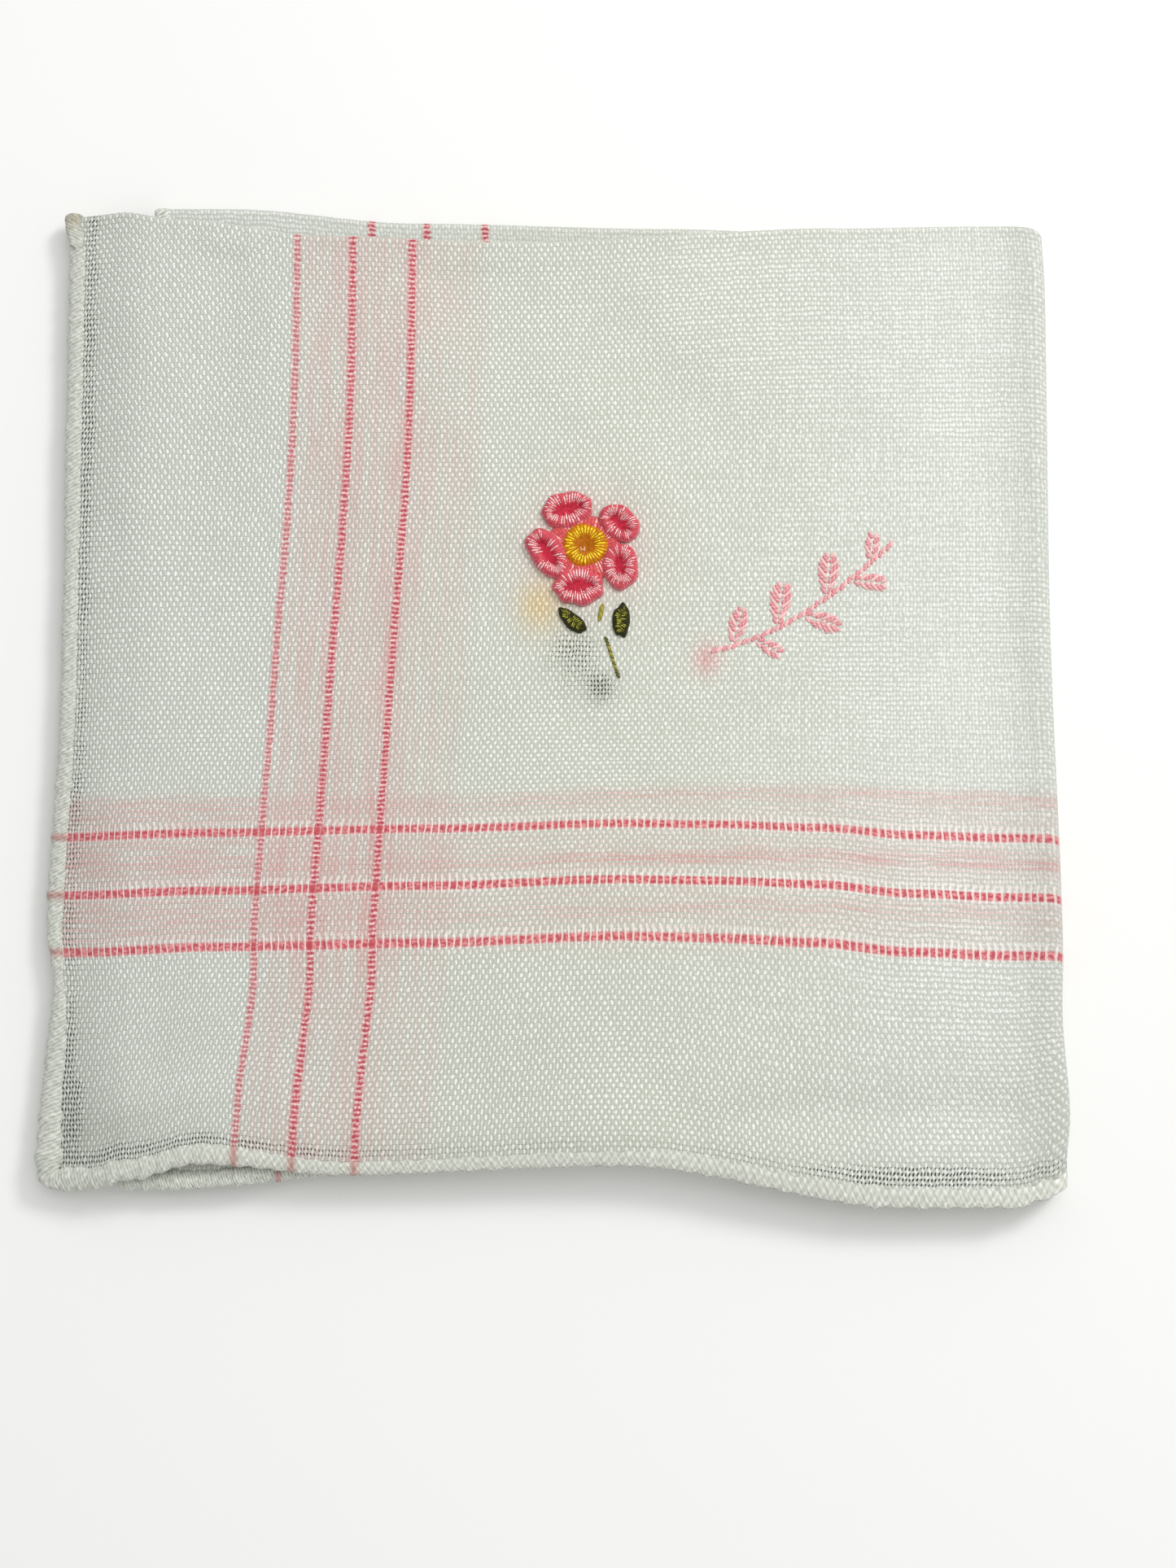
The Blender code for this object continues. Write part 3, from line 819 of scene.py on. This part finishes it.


# Whipped cotton: the cloth's rolled edge under slanting white thread, a little shinier than the cloth, with
# painted shadows between the turns and the roll's painted shade multiplied in.
def whippedCotton():
    material, add, shader = newMaterial("whipped_cotton_roll", {
        "Roughness": 0.78, "IOR": 1.5, "Specular IOR Level": 0.4, "Sheen Weight": 0.2,
    })
    sized = add("VectorMath MULTIPLY", add("UVMap", uv_map="rollMap"), (mapSpan, roll["girth"], 0))
    jitter = add("TexNoise", sized, 0.9, 3.0, noise_dimensions="2D")
    fine = add("MULTIPLY_ADD", add("TexNoise", sized, 1.7, 1.0, noise_dimensions="2D"), 0.6, 0.2)
    onward, around = add("SeparateXYZ", sized).outputs[:2]
    slant = add("MULTIPLY_ADD", jitter, 0.6, add("MULTIPLY_ADD", around, 0.55, onward))
    turns = add("SINE", add("MULTIPLY", slant, 2 * math.pi / roll["threadPitch"]))
    tone = add("MULTIPLY_ADD", turns, 0.17, fine)
    whipped = fillRamp(add("ValToRGB", tone), (
        (0.25, "#A4A89C"), (0.42, "#C2C6BA"), (0.6, "#D6D9CF"), (0.78, "#ECEEE5")))
    # Where the thread is sparse, the weave of the rolled cloth shows.
    phase = add("VectorMath MULTIPLY_ADD", jitter.outputs["Color"], (0.3, 0.3, 0), sized)
    phase = add("VectorMath MULTIPLY", phase, (math.pi / weave["across"], math.pi / roll["weftPitch"], 0))
    waves = add("SeparateXYZ", add("VectorMath SINE", phase)).outputs
    woven = add("MULTIPLY_ADD", add("MULTIPLY", waves[0], waves[1]), 0.27, fine)
    woven = fillRamp(add("ValToRGB", woven), (
        (0.15, "#BCBFB3"), (0.4, "#C6C9BE"), (0.6, "#D8DACF"), (0.85, "#F0F1E8")))
    painted = add("Attribute", attribute_name="paint")
    colour = add("Mix RGBA", painted.outputs["Alpha"], woven, whipped)
    feed(shader.inputs["Base Color"], add("Mix RGBA", 1.0, colour, painted, blend_type="MULTIPLY"))
    feed(shader.inputs["Normal"], add("Bump", 0.7, 0.00015, None, tone))
    return material


hem = makeHem()
finishPiece(hem, whippedCotton())
print("hem rolled")


# What all padded patches share: the places of their rings, in shares of the way out and then back
# under them, and small heights.
pad = dict(
    rings=np.linspace(0.0, 1.0, 15),
    under=(0.5, 0.0),
    lip=-0.05,          # height of the outline
    bottom=-0.15,
    ridge=0.045,        # relief of its strands
    opening=0.07,       # share of the way out on which the groove's floor opens
)
strandSpan = 1000.0     # strands that one unit of strandMap stands for


# A padded patch of satin stitch. A point at share rho of the way out and angle theta lies on the
# line from the spine, a short groove in the middle, to the outline, an uneven ellipse. Nearest the
# spine the groove's floor closes on its middle line. The height rises from the groove to a crest
# and falls to the cloth. The underside is flat and closes it.
def padGrid(at, half, turn, spine, form, seed):
    random = np.random.default_rng(seed)
    theta = np.linspace(0, 2 * math.pi, form["strands"] * 3, endpoint=False)
    rho = np.concatenate([pad["rings"], pad["under"]])[:, None]
    outline = 1 + sum(
        form["wobble"] * random.normal() * np.cos(k * theta + random.uniform(0, 6.28)) for k in (2, 3, 5, 7))
    spineX = spine * np.cos(theta)
    spineY = form["grooveHalf"] * np.sin(theta) * np.minimum(rho / pad["opening"], 1.0)
    x = spineX * (1 - rho) + half[0] * np.cos(theta) * outline * rho
    y = spineY * (1 - rho) + half[1] * np.sin(theta) * outline * rho
    crest, groove = form["crest"], form["groove"]
    rise = groove + (1 - groove) * eased(rho / crest)
    fall = np.sqrt(np.clip(1 - ((rho - crest) / (1 - crest)) ** 2, 0, 1))
    tall = form["height"] * np.where(rho < crest, rise, fall)
    tall = tall + pad["ridge"] * np.sin(form["strands"] * theta) * np.sin(math.pi * rho)
    last = len(pad["rings"]) - 1
    tall[last], tall[last + 1:] = pad["lip"], pad["bottom"]
    c, s = math.cos(math.radians(turn)), math.sin(math.radians(turn))
    worldX, worldY = at[0] + x * c - y * s, at[1] + x * s + y * c
    return np.stack([worldX, worldY, topHeight(worldX, worldY) + tall], -1)


# Joins padded patches into one mesh. In its map u counts strands, and v is the share of the way out.
def joinPads(name, grids, strands):
    out = np.maximum.accumulate(np.concatenate([pad["rings"], pad["under"]]))
    faces, pairs, start = [], [], 0
    for k, grid in enumerate(grids):
        m, n = grid.shape[:2]
        strand = (np.arange(n + 1) / n * strands + 100 * k) / strandSpan
        made, corners = gridFaces(start + np.arange(m * n).reshape(m, n), out, strand)
        faces.append(made)
        pairs.append(corners[:, ::-1])
        start += m * n
    points = np.concatenate([grid.reshape(-1, 3) for grid in grids])
    return putMesh(name, points * mm, np.concatenate(faces), maps={"strandMap": np.concatenate(pairs)})


# Satin-stitched thread: strands side by side, deep in the groove, with bright broken glints where
# they bend over the crest.
def satinThread(name, groove, flank, rim, glint, crest, spread, amount):
    material, add, shader = newMaterial(name, {
        "Roughness": 0.5, "IOR": 1.5, "Specular IOR Level": 0.18, "Sheen Weight": 0.04, "Sheen Roughness": 0.4,
    })
    sized = add("VectorMath MULTIPLY", add("UVMap", uv_map="strandMap"), (strandSpan, 1, 0))
    strand, out = add("SeparateXYZ", sized).outputs[:2]
    each = add("FLOOR", strand)
    chance = add("TexWhiteNoise", each, noise_dimensions="1D")
    other = add("TexWhiteNoise", add("ADD", each, 57.3), noise_dimensions="1D")
    body = fillRamp(add("ValToRGB", out), (
        (0.0, groove), (crest * 0.35, groove), (crest * 0.75, flank), (0.86, flank), (1.0, rim)))
    ridge = add("ABSOLUTE", add("SINE", add("MULTIPLY", strand, math.pi)))
    # The glint of each strand is a bell on its way out, moved a little at random, and broken up.
    moved = add("MULTIPLY_ADD", chance, 1.2 * spread, crest - 0.6 * spread)
    hump = add("DIVIDE", add("SUBTRACT", out, moved), spread)
    lit = add("SUBTRACT", 1.0, add("MULTIPLY", hump, hump), use_clamp=True)
    broken = add("TexNoise", add("VectorMath MULTIPLY", sized, (1.3, 14.0, 0)), 1.0, 1.0, noise_dimensions="2D")
    for share in (add("GREATER_THAN", amount, other), add("MapRange", ridge, 0.62, 0.92),
                  add("MapRange", broken, 0.38, 0.52)):
        lit = add("MULTIPLY", lit, share)
    lit = add("MULTIPLY", lit, 1.6, use_clamp=True)
    # The thread takes the dye unevenly, in spots of a third of a millimetre.
    dye = add("TexNoise", add("TexCoord").outputs["Object"], 2800.0, 2.0)
    # Between the strands the thread is painted darker, as shade.
    shade = add("MULTIPLY", add("MapRange", ridge, 0.0, 0.5, 0.72, 1.0),
                add("MapRange", dye, 0.32, 0.68, 0.72, 1.22))
    colour = add("Mix RGBA", 1.0, body, shade, blend_type="MULTIPLY")
    feed(shader.inputs["Base Color"], add("Mix RGBA", lit, colour, glint))
    feed(shader.inputs["Normal"], add("Bump", 0.6, 0.00012, None, ridge))
    return material


# Five petals round a centre, low stitches that fill the gaps between them, and two leaves. Each pad
# is at, half length and half width, turn, spine. The thread's numbers are where its glints lie on
# the way out, how far they spread and the share of strands that have one.
flower = dict(
    petals=dict(
        pads=(
            ((1.40, 25.05), (3.65, 2.70), 14, 1.75),
            ((8.73, 23.15), (3.15, 2.50), -40, 1.15),
            ((8.85, 17.05), (3.45, 2.62), 97, 0.75),
            ((3.03, 14.05), (3.55, 2.75), 8, 1.70),
            ((-1.33, 18.80), (3.98, 2.50), -58, 1.75),
        ),
        height=1.15, crest=0.56, groove=0.55, grooveHalf=0.22, strands=46, wobble=0.024, seed=0,
        slot="pink_thread",
        thread=("pink_satin_stitch", "#CE2C44", "#DA5663", "#EE9CA4", "#FFEAE6", 0.50, 0.30, 0.82),
    ),
    filling=dict(
        pads=(((3.7, 19.5), (5.4, 5.0), 0, 2.0),),
        height=0.55, crest=0.6, groove=0.9, grooveHalf=0.22, strands=56, wobble=0.02, seed=7,
        slot="pink_thread",
        thread=("rose_satin_stitch", "#DC6A34", "#D9585A", "#E07C82", "#FBD2CA", 0.66, 0.24, 0.45),
    ),
    centre=dict(
        pads=(((3.95, 19.95), (3.35, 3.2), 0, 0.5),),
        height=0.95, crest=0.62, groove=0.62, grooveHalf=0.45, strands=34, wobble=0.03, seed=11,
        slot="yellow_thread",
        thread=("yellow_satin_stitch", "#C46E08", "#CC7E06", "#D27A10", "#FFF22C", 0.58, 0.23, 0.96),
    ),
    leaves=dict(
        pads=(((2.15, 9.25), (2.45, 1.12), -42, 1.5), ((9.0, 9.3), (2.45, 1.25), 83, 1.5)),
        height=0.7, crest=0.35, groove=0.85, grooveHalf=0.2, strands=40, wobble=0.035, seed=21,
        slot="green_thread",
        thread=("olive_satin_stitch", "#3E4010", "#2E300E", "#44461A", "#D0CA48", 0.26, 0.30, 0.62),
    ),
)

for part, form in flower.items():
    grids = [padGrid(*pad, form, form["seed"] + k) for k, pad in enumerate(form["pads"])]
    finishPiece(joinPads("flower_" + part, grids, form["strands"]), satinThread(*form["thread"]))


# Single stitches that lie on the cloth, in one mesh. Each is a capsule from its start to its end:
# at the share t along it, from -1 to 1, its round section is scaled by the root of 1 less 0.96
# times t to the fourth. Tones are 0 to 1, one for each stitch.
def layStitches(name, starts, ends, halfWidth, height, tones, lift=0.02):
    starts, ends = np.array(starts, float), np.array(ends, float)
    halfWidth, height = np.broadcast_to(halfWidth, len(starts)), np.broadcast_to(height, len(starts))
    t = np.linspace(-1, 1, 9)
    angle = np.linspace(0, 2 * math.pi, 8, endpoint=False)
    middle = (starts + ends)[:, None] / 2 + (ends - starts)[:, None] / 2 * t[None, :, None]
    side = leftOf(unit(ends - starts))
    taper = np.sqrt(1 - t ** 4 * 0.96)
    aside = halfWidth[:, None, None] * taper[None, :, None] * np.cos(angle)
    above = height[:, None, None] * taper[None, :, None] * np.sin(angle)
    plane = middle[:, :, None] + side[:, None, None] * aside[..., None]
    z = topHeight(plane[..., 0], plane[..., 1]) + above + lift
    grid = np.concatenate([plane, z[..., None]], -1)
    k, m, n = grid.shape[:3]
    index = np.arange(k * m * n).reshape(k, m, n)
    beside = np.roll(index, -1, 2)
    tube = np.stack([index[:, :-1], beside[:, :-1], beside[:, 1:], index[:, 1:]], -1).reshape(-1, 4)
    # Each end closes with three four-cornered faces across its ring of eight.
    caps = np.concatenate([
        ring[:, list(order)] for ring, corners in ((index[:, 0], ((0, 3, 2, 1), (0, 7, 4, 3), (7, 6, 5, 4))),
                                                   (index[:, -1], ((0, 1, 2, 3), (0, 3, 4, 7), (4, 5, 6, 7))))
        for order in corners
    ])
    faces = np.concatenate([tube, caps])
    pairs = np.stack([np.broadcast_to(t[None, :, None], (k, m, n)) * 0.5 + 0.5,
                      np.broadcast_to(angle[None, None] / (2 * math.pi), (k, m, n))], -1).reshape(-1, 2)
    tone = np.repeat(np.array(tones, float), m * n)
    return putMesh(name, grid.reshape(-1, 3) * mm, faces, maps={"stitchMap": pairs[faces.ravel()]},
                   attributes={"tone": np.repeat(tone[:, None], 4, 1)})


# Twisted thread: its colour runs from one to another by the tone of each stitch, with a paler
# broken gleam along the twist.
def stitchThread(name, dark, light, gleam):
    material, add, shader = newMaterial(name, {
        "Roughness": 0.55, "IOR": 1.5, "Specular IOR Level": 0.2, "Sheen Weight": 0.05,
    })
    body = add("ValToRGB", add("Attribute", attribute_name="tone").outputs["Fac"])
    sized = add("VectorMath MULTIPLY", add("UVMap", uv_map="stitchMap"), (3.0, 2.0, 0))
    turns = add("ADD", *add("SeparateXYZ", sized).outputs[:2])
    twist = add("SINE", add("MULTIPLY", turns, 2 * math.pi))
    shown = add("MapRange", twist, 0.3, 1.0, 0.0, 0.6)
    colour = add("Mix RGBA", shown, fillRamp(body, ((0.0, dark), (1.0, light))), gleam)
    feed(shader.inputs["Base Color"], colour)
    return material


# The stems: a short thick stitch under the petals, and a long thin one twisted of short segments.
stems = dict(
    upper=((6.42, 11.7), (5.88, 9.1)),
    lower=((6.8, 6.9), (8.62, 1.2)),
    halfWidths=(0.34, 0.20),
    height=0.26,
    segments=13,
    slant=0.16,
)


def makeStems():
    start, end = np.array(stems["lower"])
    count = stems["segments"]
    step = (end - start) / count
    half = step * 0.75 + leftOf(unit(step)) * stems["slant"]
    middle = start + step * (np.arange(count)[:, None] + 0.5)
    starts, ends = (
        np.vstack([upper, lower]) for upper, lower in zip(stems["upper"], (middle - half, middle + half)))
    shades = np.where(np.arange(count) % 2 == 0, 0.15, 0.85)
    shades[[0, 1, -2, -1]] = 0.0
    thick, thin = stems["halfWidths"]
    return layStitches("flower_stems", starts, ends, [thick] + [thin] * count, stems["height"], [0.7, *shades])


# A few pale threads cross in the middle of the flower.
knot = dict(
    starts=((3.30, 19.75), (3.90, 19.72), (3.35, 19.30)),
    ends=((3.42, 18.98), (3.82, 19.0), (3.88, 19.22)),
    halfWidth=0.09,
    height=0.10,
    tones=(0.3, 0.8, 0.5),
    lift=0.62,
)
finishPiece(layStitches("flower_knot", **knot),
            stitchThread("pale_twisted_thread", "#D08A4C", "#EFC6A8", "#FFE6D0"))
finishPiece(makeStems(), stitchThread("olive_twisted_thread", "#2F3010", "#A79F3C", "#C9C268"))
print("flower stitched")

# A leafy sprig of short slanted stitches: an arched branch with leaves by turns on each side. Each
# leaf is share along the branch, side, length, turn off the branch in degrees.
sprig = dict(
    root=(21.6, 5.0),
    bend=(33.0, 7.0),
    tip=(47.2, 20.6),
    spacing=0.72,       # mm from one stitch of the branch to the next
    length=1.15,
    halfWidth=0.25,
    height=0.2,
    slant=38.0,         # degrees off the line that they follow
    leaves=(
        (0.12, 1, 5.2, 58), (0.25, -1, 4.2, 52), (0.38, 1, 6.4, 54), (0.52, -1, 5.4, 50),
        (0.65, 1, 6.0, 48), (0.78, -1, 4.8, 46), (0.88, 1, 4.0, 40),
    ),
    leafSpacing=0.74,
    leafReach=1.75,     # mm from a leaf's middle line to the end of its longest stitch
)


# Slanted stitches at even steps along a line of points.
def stitchLine(points):
    length, findPoints = measureLine(points)
    count = int(round(length / sprig["spacing"]))
    place = (np.arange(count) + 0.5) * length / count
    at, before, after = findPoints(place), findPoints(place - 0.1), findPoints(place + 0.1)
    heading = np.arctan2(*(after - before)[:, ::-1].T) + math.radians(sprig["slant"])
    half = np.stack([np.cos(heading), np.sin(heading)], -1) * sprig["length"] / 2
    return at - half, at + half


# The branch is a curve bent by one point: (1 - s) squared times the root, plus 2 s (1 - s) times
# the bend, plus s squared times the tip. A leaf is a feather: from even steps on its middle line
# stitches reach out and on to both sides, by a sine of the share of its length.
def makeSprig():
    root, bend, tip = (np.array(sprig[key]) for key in ("root", "bend", "tip"))

    def branch(s):
        s = np.asarray(s, float)[..., None]
        return (1 - s) ** 2 * root + 2 * s * (1 - s) * bend + s ** 2 * tip

    lines = [stitchLine(branch(np.linspace(0, 1, 40)))]
    for share, side, length, turn in sprig["leaves"]:
        base = branch(share)
        onward = unit(branch(share + 0.01) - branch(share - 0.01))
        forward = onward * math.cos(math.radians(turn)) + leftOf(onward) * side * math.sin(math.radians(turn))
        aside = leftOf(forward)
        run = np.arange(0.6, length, sprig["leafSpacing"])[:, None]
        reach = sprig["leafReach"] * np.sin(math.pi * (run / (length + 0.6)) ** 0.8) * length / 6.4
        for edge in (1, -1):
            start = base + forward * run + aside * edge * 0.12
            lines.append((start, start + forward * (0.35 + reach * 0.75) + aside * edge * reach * 0.85))
    starts, ends = (np.concatenate(group) for group in zip(*lines))
    random = np.random.default_rng(9)
    starts, ends = starts + random.normal(0, 0.05, starts.shape), ends + random.normal(0, 0.05, ends.shape)
    tones = np.clip(np.arange(len(starts)) % 2 * 0.8 + random.normal(0, 0.15, len(starts)), 0, 1)
    return layStitches("leafy_sprig", starts, ends, sprig["halfWidth"], sprig["height"], tones)


finishPiece(makeSprig(), stitchThread("rose_twisted_thread", "#DE8790", "#F3C4C2", "#FCDEDA"))
print("sprig stitched")

# The floor and the light: a pale table under a wide soft light, as in a bright room.
room = dict(
    floor="#F4F4F2",
    floorHalf=0.9,
    world=0.58,
    lamps=(
        ("soft_window", 3.05, 0.8, (0.25, 0.30, 0.95)),
        ("key_window", 3.05, 0.22, (0.50, 0.42, 0.60)),
    ),
)


# Turns that point a lamp from its place to the middle of the cloth.
def aimAt(place):
    x, y, z = place
    return (math.atan2(math.hypot(x, y), z), 0.0, math.atan2(x, -y))


def lightRoom():
    side = room["floorHalf"]
    corners = np.array([(-side, -side, 0), (side, -side, 0), (side, side, 0), (-side, side, 0)])
    floor = putMesh("table_top", corners - (0, 0, 0.0001), np.array([[0, 1, 2, 3]]))
    material, _, _ = newMaterial("painted_table", {"Roughness": 0.7, "Base Color": room["floor"]})
    floor.data.materials.append(material)
    for name, power, size, place in room["lamps"]:
        lamp = bpy.data.lights.new(name, "AREA")
        lamp.energy = power
        lamp.size = size
        putObject(name, lamp, place, aimAt(place))
    world = bpy.data.worlds.new("bright_room")
    world.use_nodes = True
    background = world.node_tree.nodes["Background"]
    feed(background.inputs["Color"], "#FFFFFF")
    feed(background.inputs["Strength"], room["world"])
    bpy.context.scene.world = world
    bpy.context.scene.view_settings.view_transform = "Standard"


lightRoom()
print("room lit")
